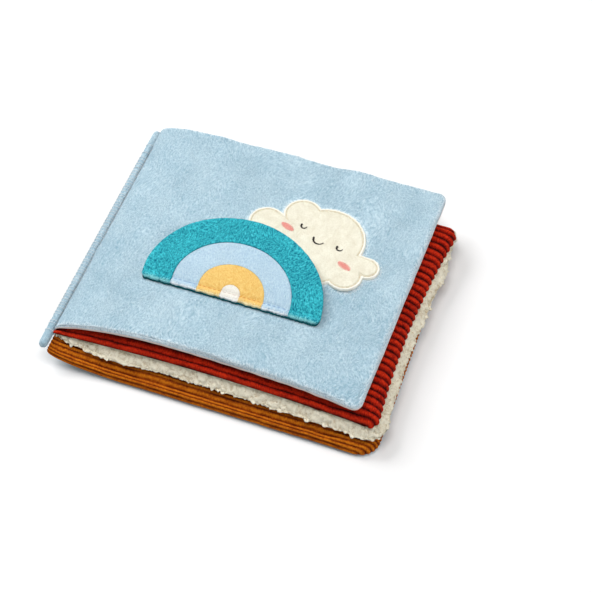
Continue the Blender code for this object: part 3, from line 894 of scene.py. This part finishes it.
def build_leaves(finishes):
    """The six cloths of the three leaves, and what fills them."""
    leaf_cloth(BACK, "amber_page", True, wale_relief(AMBER_WALES), finishes["amber"], AMBER_GRID,
               "back_cover_corduroy", "amber_corduroy")
    leaf_cloth(BACK, "outer_cloth", False, padded_relief(0.00015, 0.0), finishes["plush"], UNDERSIDE_GRID,
               "back_cover_plush", "blue_plush")
    leaf_cloth(PAGE, "red_page", True, wale_relief(RED_WALES), finishes["red"], RED_GRID,
               "middle_leaf_corduroy", "red_corduroy")
    leaf_cloth(PAGE, "fleece_page", False, fleece_relief, finishes["fleece"], FLEECE_GRID,
               "middle_leaf_fleece", "cream_fleece")
    leaf_cloth(FRONT, "outer_cloth", True, cover_relief, finishes["plush"], COVER_GRID,
               "front_cover_plush", "blue_plush")
    leaf_cloth(FRONT, "cream_page", False, lining_relief, finishes["lining"], LINING_GRID,
               "front_cover_lining", "cream_lining")
    for leaf in STACK:
        leaf_wadding(leaf, finishes["wadding"])
        leaf_film(leaf, finishes["film"])


def cover_top(x, y):
    """Height of the front cover's plush, well inside its rim."""
    return cloth_levels(FRONT, x, y, RIM)[0]


def from_fore_and_tail(from_fore, from_tail):
    """World x and y of a spot on the front cover."""
    return HINGE_X + COVER_REACH - from_fore, FRONT.middle - COVER_DEPTH / 2 + from_tail


FLAP_X, FLAP_Y = from_fore_and_tail(FLAP_X_FROM_FORE, FLAP_Y_FROM_TAIL)
CLOUD_X, CLOUD_Y = from_fore_and_tail(CLOUD_X_FROM_FORE, CLOUD_Y_FROM_TAIL)
FLAP_THICKNESS = BACKING + FLAP_FILM + BAND + 2 * CLEARANCE


def flap_floor(x, y):
    """Underside of the flap: on the cover at its stitch line, then up over the cloud, a little open."""
    over_cloud = (CLOUD_CLOTH + CLEARANCE) * ease((y - FLAP_Y) / FLAP_EASE)
    lift = FLAP_LIFT * max(y - FLAP_Y, 0.0) / FLAP_RADIUS
    return cover_top(x, y) + CLEARANCE + over_cloud + lift


def flap_curl(x, y):
    """How far the loose part of the flap curls up here, unevenly, off what it lies on."""
    return FLAP_CURL * ease((y - FLAP_Y) / FLAP_RADIUS) * (1.0 + noise.noise(Vector((x, y, 0.0)) / 0.021))


def flap_spot(radius, station, hem):
    """World x and y on the flap, and its distance from the rim: round the arch from its fore end
    (station 0) to its spine end (station 1), and down the sewn hem past them."""
    if 0.0 <= station <= 1.0:
        angle = math.pi * station
        up = FLAP_RISE_SHARE * radius * math.sin(angle)
        return FLAP_X + radius * math.cos(angle) - FLAP_LEAN_SHARE * up, FLAP_Y + up, FLAP_RADIUS - radius
    down = -station if station < 0.0 else station - 1.0
    side, low, inset = round_corner(FLAP_RADIUS - radius, hem - down, HEM_CORNER)
    sign = 1.0 if station < 0.0 else -1.0
    return FLAP_X + sign * (FLAP_RADIUS - side), FLAP_Y - hem + low, inset


def flap_stations(hem):
    """Stations along the flap: down the hem at its fore end, round the arch, down at its spine end."""
    legs = [hem * share for share in HEM_LEG_SHARES]
    arch = [turn / FLAP_TURNS for turn in range(FLAP_TURNS + 1)]
    return [-leg for leg in legs] + arch + [1.0 + leg for leg in reversed(legs)]


def flap_cloth(name, inner, outer, step, base, thickness, hem, round_by, pile, material):
    """A half ring of the flap with its part of the sewn hem, both edges of its pile rounded over."""
    steps = max(round((outer - inner) / step), 4)
    edge = min(round_by, (outer - inner) / 3)
    near_inner = min(edge, INNER_ROUND)
    near = [edge * (1.0 - math.cos(math.pi / 2 * turn / 5)) for turn in range(6)]
    start = near if inner > 0.0 else [0.0]
    radii = [inner + distance * near_inner / edge for distance in start]
    first, last = radii[-1], outer - near[-1]
    radii += [first + (last - first) * count / steps for count in range(1, steps)]
    radii += [outer - distance for distance in reversed(near)]

    def place(radius, station):
        x, y, inset = flap_spot(radius, station, hem)
        low = y - (FLAP_Y - hem)
        floor = flap_floor(x, y) + flap_curl(x, y) + base * (0.55 + 0.45 * ease(low / 0.0022))
        edges = [outer - radius, inset if outer > FLAP_RADIUS - CLEARANCE else FLAP_RIM, low]
        full = rise(min(edges) / edge)
        if inner > 0.0:
            edges.append(radius - inner)
            full = min(full, rise((radius - inner) / near_inner))
        puff = PRESSED_SHARE + (1.0 - PRESSED_SHARE) * full
        groove = STITCH_GROOVE * bump_at(y - FLAP_Y, 0.0010)
        top = floor + max(thickness * puff - groove, thickness * 0.2)
        fray = noise.noise(Vector((x / 0.0013, base / CLEARANCE, 0.0)))
        fray += noise.noise(Vector((x, 0.0, 0.0)) / 0.004)
        y += HEM_FRAY * fray * ease(1.0 - low / 0.0016)
        return Spot(Vector((x, y, top)), Vector((x, y, floor)), x, y, min(edges))

    def relief(spot):
        tuft = noise.noise(spot.outside / 0.0011) * 0.6 + noise.noise(spot.outside / 0.004) * 0.4
        low = spot.across - (FLAP_Y - hem)
        # The second value sets the pile's colour: painted highlight on the hem below the stitch line and
        # along its low edge
        sewn = 0.35 * ease(1.0 - low / hem) if hem else 0.0
        return pile * tuft, 0.45 + 0.15 * tuft + sewn + 0.3 * ease(1.0 - low / 0.0014)

    return cloth(name, radii, flap_stations(hem), place, relief, material)


def hinge_flap(piece, slot, *nodes):
    """Bake a piece's place into its mesh and hide the solids that it stands for."""
    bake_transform(piece)
    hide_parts(*nodes)


def half_oval(radius):
    """Area inside a radius of the flap's arch."""
    return math.pi * radius ** 2 * FLAP_RISE_SHARE / 2


def flap_backing(material):
    """The dark cloth under the flap, its lip showing below the hem."""
    piece = flap_cloth("rainbow_lower_cloth", 0.0, FLAP_RADIUS - BACKING_INSET, BACKING_STEP, 0.0, BACKING,
                       HEM_DEPTH + BACKING_LIP, PLAIN_ROUND, BACKING_GRAIN, material)
    hinge_flap(piece, "flap_backing", "rainbow_backing")
    area = half_oval(FLAP_RADIUS) + 2 * FLAP_RADIUS * HEM_DEPTH


def flap_film(base, material):
    """The film that crinkles in the flap."""
    radius = FLAP_RADIUS - FLAP_FILM_INSET
    piece = flap_cloth("rainbow_rustling_film", 0.0, radius, FLAP_FILM_STEP, base, FLAP_FILM, 0.0,
                       PLAIN_ROUND, FLAP_FILM_CRUMPLE, material)
    dress(piece, "rainbow_flap", "crinkle_film", "rainbow_crinkle_film")
    half_oval(radius)


def flap_band(node, slot, inner, outer, base, thickness, round_by, pile, finishes, *more_nodes):
    """One coloured band of the flap, with its part of the sewn hem."""
    piece = flap_cloth(f"{node}_cloth", inner, outer, BAND_STEP, base, thickness, HEM_DEPTH,
                       round_by, pile, finishes[slot])
    hinge_flap(piece, slot, node, *more_nodes)
    flat = (2 * outer, outer * FLAP_RISE_SHARE + HEM_DEPTH)
    area = half_oval(outer) - half_oval(inner) + 2 * (outer - inner) * HEM_DEPTH


def build_flap(finishes):
    """The lift-up rainbow: dark backing, film and four bands of cloth, sewn through near their edge."""
    flap_backing(finishes["backing"])
    flap_film(BACKING + CLEARANCE, finishes["film"])
    base = BACKING + FLAP_FILM + 2 * CLEARANCE
    short = (BAND, INNER_ROUND, SHORT_PILE)
    long = (BAND + LONG_PILE_RAISE, LONG_PILE_ROUND, LONG_PILE)
    radii = [FLAP_RADIUS * share for share in BAND_SHARES]
    flap_band("rainbow_white_centre", "white_plush", 0.0, radii[0], base, *short, finishes, "flap_sewn_hem")
    flap_band("rainbow_yellow_arch", "yellow_plush", radii[0], radii[1], base, *short, finishes)
    flap_band("rainbow_sky_arch", "sky_plush", radii[1], radii[2], base, *short, finishes)
    flap_band("rainbow_teal_arch", "teal_plush", radii[2], radii[3], base, *long, finishes)


def cloud_radius(angle, inset=0.0):
    """Distance from the cloud's middle to its outline, or to a line inside it."""
    far = 0.0
    for share_x, share_y, share_r in LOBE_SHARES:
        lobe_x, lobe_y = share_x * CLOUD_WIDTH, share_y * CLOUD_WIDTH
        ahead = lobe_x * math.cos(angle) + lobe_y * math.sin(angle)
        reach = ahead ** 2 - lobe_x ** 2 - lobe_y ** 2 + (share_r * CLOUD_WIDTH - inset) ** 2
        if reach > 0.0:
            far = max(far, ahead + math.sqrt(reach))
    return far


def cloud_top(x, y):
    """Height of the cloud's cloth."""
    return cover_top(x, y) + CLEARANCE + CLOUD_CLOTH


def build_cloud(finishes):
    """The cloud: velvet with a bound edge and the groove for a line of stitches just inside it."""
    insets = [CLOUD_RIM_END * (step / 16) ** 1.3 for step in range(17)]
    rows = [("middle", share) for share in CLOUD_ROW_SHARES] + [("rim", inset) for inset in reversed(insets)]

    def place(line, turn):
        zone, value = line
        angle = math.tau * turn
        rim = cloud_radius(angle, CLOUD_RIM_END)
        radius = rim * value if zone == "middle" else cloud_radius(angle, value)
        inset = CLOUD_RIM_END if zone == "middle" else value
        fray = noise.noise(Vector((math.cos(angle), math.sin(angle), 0.0)) * radius / 0.0011)
        radius += CLOUD_FRAY * fray * ease(1.0 - inset / 0.0012)
        x, y = CLOUD_X + radius * math.cos(angle), CLOUD_Y + radius * math.sin(angle)
        pile = cover_top(x, y)
        shoulder = rise(inset / 0.0008)
        top = pile + (CLEARANCE + CLOUD_CLOTH) * shoulder - 0.0002 * (1.0 - shoulder)
        top -= 0.0006 * bump_at(inset - CLOUD_STITCH_INSET, 0.0004)
        return Spot(Vector((x, y, top)), Vector((x, y, pile - 0.0003)), x, y, inset)

    def relief(spot):
        edge = 1.0 - ease((spot.inset - 0.0012) / 0.0006)
        seam = bump_at(spot.inset - CLOUD_STITCH_INSET, 0.0004)
        rough = noise.noise(spot.outside / 0.0012) + 0.6 * noise.noise(spot.outside / 0.004)
        # The second value sets the colour: painted highlight on the rolled edge and painted shade in the
        # stitch groove
        return 0.00010 * rough, 0.6 + 0.7 * edge - 0.5 * seam

    turns = [step / CLOUD_TURNS for step in range(CLOUD_TURNS)]
    piece = cloth("cloud_velvet_cloth", rows, turns + [0.0], place, relief, finishes["velvet"])
    dress(piece, "front_cover", "cloud_velvet", "cloud_applique")
    area = sum(cloud_radius(math.tau * turn) ** 2 / 2 for turn in turns) * math.tau / CLOUD_TURNS


def add_stitch(bm, start, end, radius):
    """A short stitch of thread between two points: a long flattened grain, lowest at its ends."""
    line = end - start
    turn = line.to_track_quat("Z", "Y").to_matrix().to_4x4()
    size = Matrix.Diagonal((radius, radius * 0.8, line.length / 2, 1.0))
    matrix = Matrix.Translation((start + end) / 2) @ turn @ size
    bmesh.ops.create_uvsphere(bm, u_segments=8, v_segments=6, radius=1.0, matrix=matrix)


def stitched(name, runs, material, slot, *nodes):
    """A piece of the front cover made of stitches, each from point to point with its own radius."""
    bm = bmesh.new()
    for start, end, radius in runs:
        add_stitch(bm, Vector(start), Vector(end), radius)
    dress(finish_mesh(bm, name, material), "front_cover", slot, *nodes)


def face_spot(across, up, lift):
    """A point on the cloud's face, which is tilted, a height above its cloth."""
    across += FACE_SHIFT
    x = CLOUD_X + across * math.cos(FACE_TILT) - up * math.sin(FACE_TILT)
    y = CLOUD_Y + across * math.sin(FACE_TILT) + up * math.cos(FACE_TILT)
    return Vector((x, y, cloud_top(x, y) + lift))


def stitched_arc(name, across, up, radius, arc, node, finishes, stitches):
    """A closed eye or a smile: short stitches end to end round an arc, finer at its fore end."""
    first, sweep = arc
    points = []
    for step in range(stitches + 1):
        angle = first + sweep * step / stitches
        points.append(face_spot(across + radius * math.cos(angle), up + radius * math.sin(angle),
                                THREAD_RADIUS * 0.5))
    runs = []
    for step, (start, end) in enumerate(zip(points, points[1:])):
        overlap = (end - start) * 0.16
        runs.append((start - overlap, end + overlap, THREAD_RADIUS * (1.7 - 1.0 * step / (stitches - 1))))
    stitched(name, runs, finishes["dark_thread"], "dark_thread", node)


def cheek(name, across, up, node, finishes):
    """A cheek of slanted satin stitches, laid side by side across an oval."""
    along = Vector((math.cos(CHEEK_SLANT), math.sin(CHEEK_SLANT)))
    square = Vector((-along.y, along.x))
    long, wide = CHEEK_LENGTH / 2, CHEEK_WIDTH / 2
    reach = math.hypot(long * square.x, wide * square.y)
    runs = []
    for line in range(CHEEK_LINES):
        here = square * reach * (2 * (line + 0.5) / CHEEK_LINES - 1.0)
        a = (along.x / long) ** 2 + (along.y / wide) ** 2
        b = 2 * (here.x * along.x / long ** 2 + here.y * along.y / wide ** 2)
        c = (here.x / long) ** 2 + (here.y / wide) ** 2 - 1.0
        root = math.sqrt(max(b * b - 4 * a * c, 0.0))
        ends = [here + along * ((-b + sign * root) / (2 * a)) for sign in (-1, 1)]
        spots = [face_spot(across + end.x, end.y + up, 0.00012) for end in ends]
        runs.append((*spots, SATIN_THREAD))
    stitched(name, runs, finishes["coral_thread"], "coral_thread", node)


def running_stitches(points, length, gap, radius):
    """Stitches of one length along a line of close points."""
    runs, start, walked, sewing = [], points[0], 0.0, True
    for point, following in zip(points, points[1:]):
        walked += (following - point).length
        if walked >= (length if sewing else gap):
            if sewing:
                runs.append((start, following, radius))
            start, walked, sewing = following, 0.0, not sewing
    return runs


def cloud_face(finishes):
    """Two closed eyes, two cheeks and a smile."""
    for side, sign in (("left", -1), ("right", 1)):
        stitched_arc(f"cloud_{side}_eye_stitches", sign * EYE_SPREAD, EYE_RAISE, EYE_RADIUS, EYE_ARC,
                     f"cloud_{side}_eye", finishes, 6)
        cheek(f"cloud_{side}_cheek_stitches", sign * CHEEK_SPREAD + CHEEK_SHIFT,
              -CHEEK_DROP - sign * CHEEK_FALL, f"cloud_{side}_cheek", finishes)
    stitched_arc("cloud_smile_stitches", 0.0, SMILE_RAISE, SMILE_RADIUS, SMILE_ARC, "cloud_smile",
                 finishes, 8)


def cloud_edge(material):
    """The line of stitches just inside the cloud's edge."""
    ring, steps = [], 2400
    for step in range(steps):
        angle = math.tau * step / steps
        radius = cloud_radius(angle, CLOUD_STITCH_INSET)
        x, y = CLOUD_X + radius * math.cos(angle), CLOUD_Y + radius * math.sin(angle)
        ring.append(Vector((x, y, cloud_top(x, y) - 0.00022)))
    stitched("cloud_edge_stitches", running_stitches(ring, *EDGE_STITCHES), material, "cloud_velvet")


def flap_stitch_line(material):
    """The stitches that hold the flap, along the line that it turns on."""
    row, steps = [], 1200
    for step in range(steps + 1):
        x = FLAP_X + (FLAP_RADIUS - FLAP_STITCHES_INSET) * (1.0 - 2.0 * step / steps)
        row.append(Vector((x, FLAP_Y, flap_floor(x, FLAP_Y) + FLAP_THICKNESS - STITCH_GROOVE + 0.0002)))
    stitched("flap_hinge_stitches", running_stitches(row, *FLAP_STITCHES), material, "teal_plush")


def flap_thread_finish(name):
    """Thread in the colour of each band of the flap, darkened as painted shade for the dents that its
    stitches sit in.
    """
    material, shader, place = new_finish(name, 0.6, 0.1)
    x = place.node("ShaderNodeSeparateXYZ", {}, {0: place})
    away = x.math("ABSOLUTE", x - FLAP_X) / FLAP_RADIUS
    shades = (srgb(226, 214, 205), srgb(226, 160, 84), srgb(150, 180, 215), srgb(10, 112, 128))
    starts = (0.0,) + BAND_SHARES[:-1]
    feed(shader, away.node("ShaderNodeValToRGB", {"steps": list(zip(starts, shades))}, {0: away}))
    return material


def build_spine(finishes):
    """The cord that the leaves are sewn to, in its own cloth, gathered at both ends."""
    low, high = SPINE_LOW.y, SPINE_HIGH.y
    steps, turns = 160, 32
    bm = bmesh.new()
    bmesh.ops.create_grid(bm, x_segments=turns, y_segments=steps, size=1)
    for vert in bm.verts:
        turn = round((vert.co.x + 1) / 2 * turns) % turns / turns
        y = low + (high - low) * round((vert.co.y + 1) / 2 * steps) / steps
        end = min(y - low, high - y)
        radius = (SPINE_RADIUS - 0.0002) * (0.25 + 0.75 * rise(end / 0.004))
        angle = math.tau * turn
        place = Vector((math.cos(angle) * 0.4, y / 0.004, math.sin(angle) * 0.4))
        radius += 0.00018 * noise.noise(place) - 0.0001
        vert.co = (HINGE_X + radius * math.cos(angle), y, HINGE_Z + radius * math.sin(angle))
    bmesh.ops.remove_doubles(bm, verts=bm.verts, dist=CLEARANCE / 20)
    bmesh.ops.holes_fill(bm, edges=bm.edges, sides=0)
    bmesh.ops.recalc_face_normals(bm, faces=bm.faces)
    dress(finish_mesh(bm, "spine_cord_cover", finishes["plush"]), "back_cover", "spine_cloth", "spine_cord")
    for turn, leaf in enumerate(STACK):
        sew_to_spine(leaf, turn, finishes["spine_thread"])


def sew_to_spine(leaf, turn, material):
    """Stitches that go round the cord, as rings that turn with the leaf, and over the leaf's edge."""
    bm = bmesh.new()
    radius = SPINE_RADIUS - 0.00005
    start = leaf.middle - PAGE_DEPTH / 2 + SPINE_STITCH_INSET + turn * SPINE_STITCH_STEP / len(STACK)
    for count in range(int((PAGE_DEPTH - 2 * SPINE_STITCH_INSET) / SPINE_STITCH_STEP)):
        y = start + count * SPINE_STITCH_STEP
        middle = Vector((HINGE_X, y, HINGE_Z))
        circle = bmesh.ops.create_circle(bm, segments=6, radius=SPINE_THREAD, matrix=Matrix.Translation(
            middle + Vector((radius, 0.0, 0.0))))
        edges = {edge for vert in circle["verts"] for edge in vert.link_edges}
        bmesh.ops.spin(bm, geom=circle["verts"] + list(edges), cent=middle, axis=(0.0, 1.0, 0.0),
                       dvec=(0.0, 0.0, 0.0), angle=math.tau, steps=24, use_merge=True)
        edge_x, end_x = HINGE_X + SPINE_EDGE, HINGE_X + SPINE_EDGE + SPINE_STITCH_REACH
        edge_levels, end_levels = (cloth_levels(leaf, x, y, RIM) for x in (edge_x, end_x))
        angle = math.atan2((edge_levels[0] + edge_levels[3]) / 2 - HINGE_Z, SPINE_RADIUS)
        ring = middle + Vector((radius * math.cos(angle), 0.0, radius * math.sin(angle)))
        for edge, end in ((edge_levels[0], end_levels[0]), (edge_levels[3], end_levels[3])):
            corner = Vector((edge_x, y, edge))
            add_stitch(bm, ring, corner, SPINE_THREAD)
            add_stitch(bm, corner, Vector((end_x, y, end)), SPINE_THREAD)
    bmesh.ops.recalc_face_normals(bm, faces=bm.faces)
    dress(finish_mesh(bm, f"{leaf.body}_spine_stitches", material), leaf.body, "spine_cloth")


def build_finishes():
    """Every material of the book."""
    return {
        # The blue plush's pale tip colour also paints the highlight on the cover's rim and round the cloud
        "plush": plush_finish("pale_blue_plush", srgb(208, 231, 242), srgb(148, 185, 204),
                              srgb(232, 247, 255)),
        # Corduroy colours for crest, flank and groove: painted light on the crests and painted shade in the
        # grooves
        "red": corduroy_finish("red_corduroy", srgb(220, 52, 20), srgb(150, 22, 8), srgb(44, 3, 2)),
        "amber": corduroy_finish("amber_corduroy", srgb(232, 136, 26), srgb(172, 80, 12), srgb(84, 30, 5),
                                 1900.0),
        # Fleece crest and crease colours: painted light on the tufts and painted shade between them
        "fleece": fleece_finish("cream_fleece", srgb(252, 246, 224), srgb(208, 190, 158)),
        "lining": woven_finish("cream_lining", srgb(255, 246, 240), srgb(246, 232, 224)),
        "backing": woven_finish("dark_teal_cloth", srgb(4, 104, 112), srgb(0, 70, 80)),
        # The velvet's pale edge colour is a painted highlight on the rolled edge
        "velvet": velvet_finish("cream_velvet", srgb(246, 243, 226), srgb(216, 208, 184),
                                srgb(249, 247, 236)),
        "dark_thread": thread_finish("dark_thread", srgb(52, 45, 42), srgb(24, 20, 19)),
        "coral_thread": thread_finish("coral_thread", srgb(255, 186, 176), srgb(240, 138, 128)),
        "edge_thread": thread_finish("cream_edge_thread", srgb(238, 224, 196), srgb(214, 196, 162)),
        "flap_thread": flap_thread_finish("flap_thread"),
        "spine_thread": thread_finish("pale_spine_thread", srgb(244, 248, 250), srgb(206, 222, 232)),
        "wadding": wadding_finish("white_wadding"),
        "film": film_finish("crinkle_film"),
        # The bands' pale tip colours also paint the highlight on the flap's hem
        "white_plush": plush_finish("white_short_plush", srgb(255, 253, 246), srgb(236, 230, 218),
                                    srgb(255, 255, 252), 1200.0, 0.4, 2.0, 0.0008),
        "yellow_plush": plush_finish("yellow_short_plush", srgb(255, 222, 142), srgb(238, 184, 90),
                                     srgb(255, 238, 190), 1200.0, 0.4, 2.0, 0.0008),
        "sky_plush": plush_finish("sky_short_plush", srgb(210, 232, 244), srgb(166, 199, 222),
                                  srgb(242, 248, 251), 1200.0, 0.4, 2.0, 0.0008),
        "teal_plush": plush_finish("teal_long_plush", srgb(74, 218, 230), srgb(0, 108, 136),
                                   srgb(150, 230, 234), 1150.0, 0.5, 2.3, 0.0010, 0.04),
    }


def build_floor():
    """A plain floor, white to the eye and greyer to the light that it throws back under the book."""
    bm = bmesh.new()
    bmesh.ops.create_grid(bm, x_segments=1, y_segments=1, size=3)
    material, shader, place = new_finish("pale_floor", 0.9)
    seen = place.seen_straight()
    feed(shader, seen.between((0.55, 0.55, 0.56, 1.0), (0.95, 0.95, 0.95, 1.0)))
    away = place.node("ShaderNodeVectorMath", {"operation": "LENGTH"}, {0: place}, output=1)
    glow = (away.stepped(FLOOR_WHITE_FROM, FLOOR_WHITE_TO) * seen).between((0, 0, 0, 1), (1, 1, 1, 1))
    material.node_tree.links.new(glow.socket, shader.inputs["Emission Color"])
    shader.inputs["Emission Strength"].default_value = 1.0
    finish_mesh(bm, "floor", material)


def look_from(azimuth, elevation, distance, target):
    """Where something stands round the target, turned to look at it."""
    back = Vector((math.sin(azimuth) * math.cos(elevation), -math.cos(azimuth) * math.cos(elevation),
                   math.sin(elevation)))
    return Matrix.Translation(target + back * distance) @ back.to_track_quat("Z", "Y").to_matrix().to_4x4()


def add_camera():
    camera = bpy.data.cameras.new("camera")
    camera.lens = LENS
    camera.sensor_width = SENSOR
    stand = bpy.data.objects.new("camera", camera)
    stand.matrix_world = look_from(CAMERA_AZIMUTH, CAMERA_ELEVATION, CAMERA_DISTANCE, CAMERA_TARGET)
    bpy.context.scene.collection.objects.link(stand)
    bpy.context.scene.camera = stand


def add_lamp(name, azimuth, elevation, distance, size, watts):
    """A square soft lamp that shines on the middle of the book."""
    light = bpy.data.lights.new(name, "AREA")
    light.shape = "SQUARE"
    light.size = size
    light.energy = watts
    lamp = bpy.data.objects.new(name, light)
    lamp.matrix_world = look_from(math.radians(azimuth), math.radians(elevation), distance, Vector((0, 0, 0)))
    bpy.context.scene.collection.objects.link(lamp)


def add_lights():
    """Soft light from behind on the left, and an even pale surround."""
    add_lamp("key_lamp", 247, 47, 1.5, 0.75, 14.2)
    add_lamp("top_lamp", 0, 84, 1.2, 0.6, 5.8)
    add_lamp("fill_lamp", 92, 34, 1.2, 0.66, 3.7)
    world = bpy.data.worlds.new("pale_surround")
    world.use_nodes = True
    background = world.node_tree.nodes["Background"]
    background.inputs["Color"].default_value = (1.0, 1.0, 1.0, 1.0)
    strength = Wire(background.inputs["Strength"])
    level = strength.seen_straight() * (1.0 - SURROUND) + SURROUND
    world.node_tree.links.new(level.socket, strength.socket)
    bpy.context.scene.world = world
    bpy.context.scene.view_settings.view_transform = "Standard"


def main():
    add_camera()
    add_lights()
    build_floor()
    finishes = build_finishes()
    build_leaves(finishes)
    build_spine(finishes)
    build_flap(finishes)
    build_cloud(finishes)
    cloud_face(finishes)
    cloud_edge(finishes["edge_thread"])
    flap_stitch_line(finishes["flap_thread"])


main()
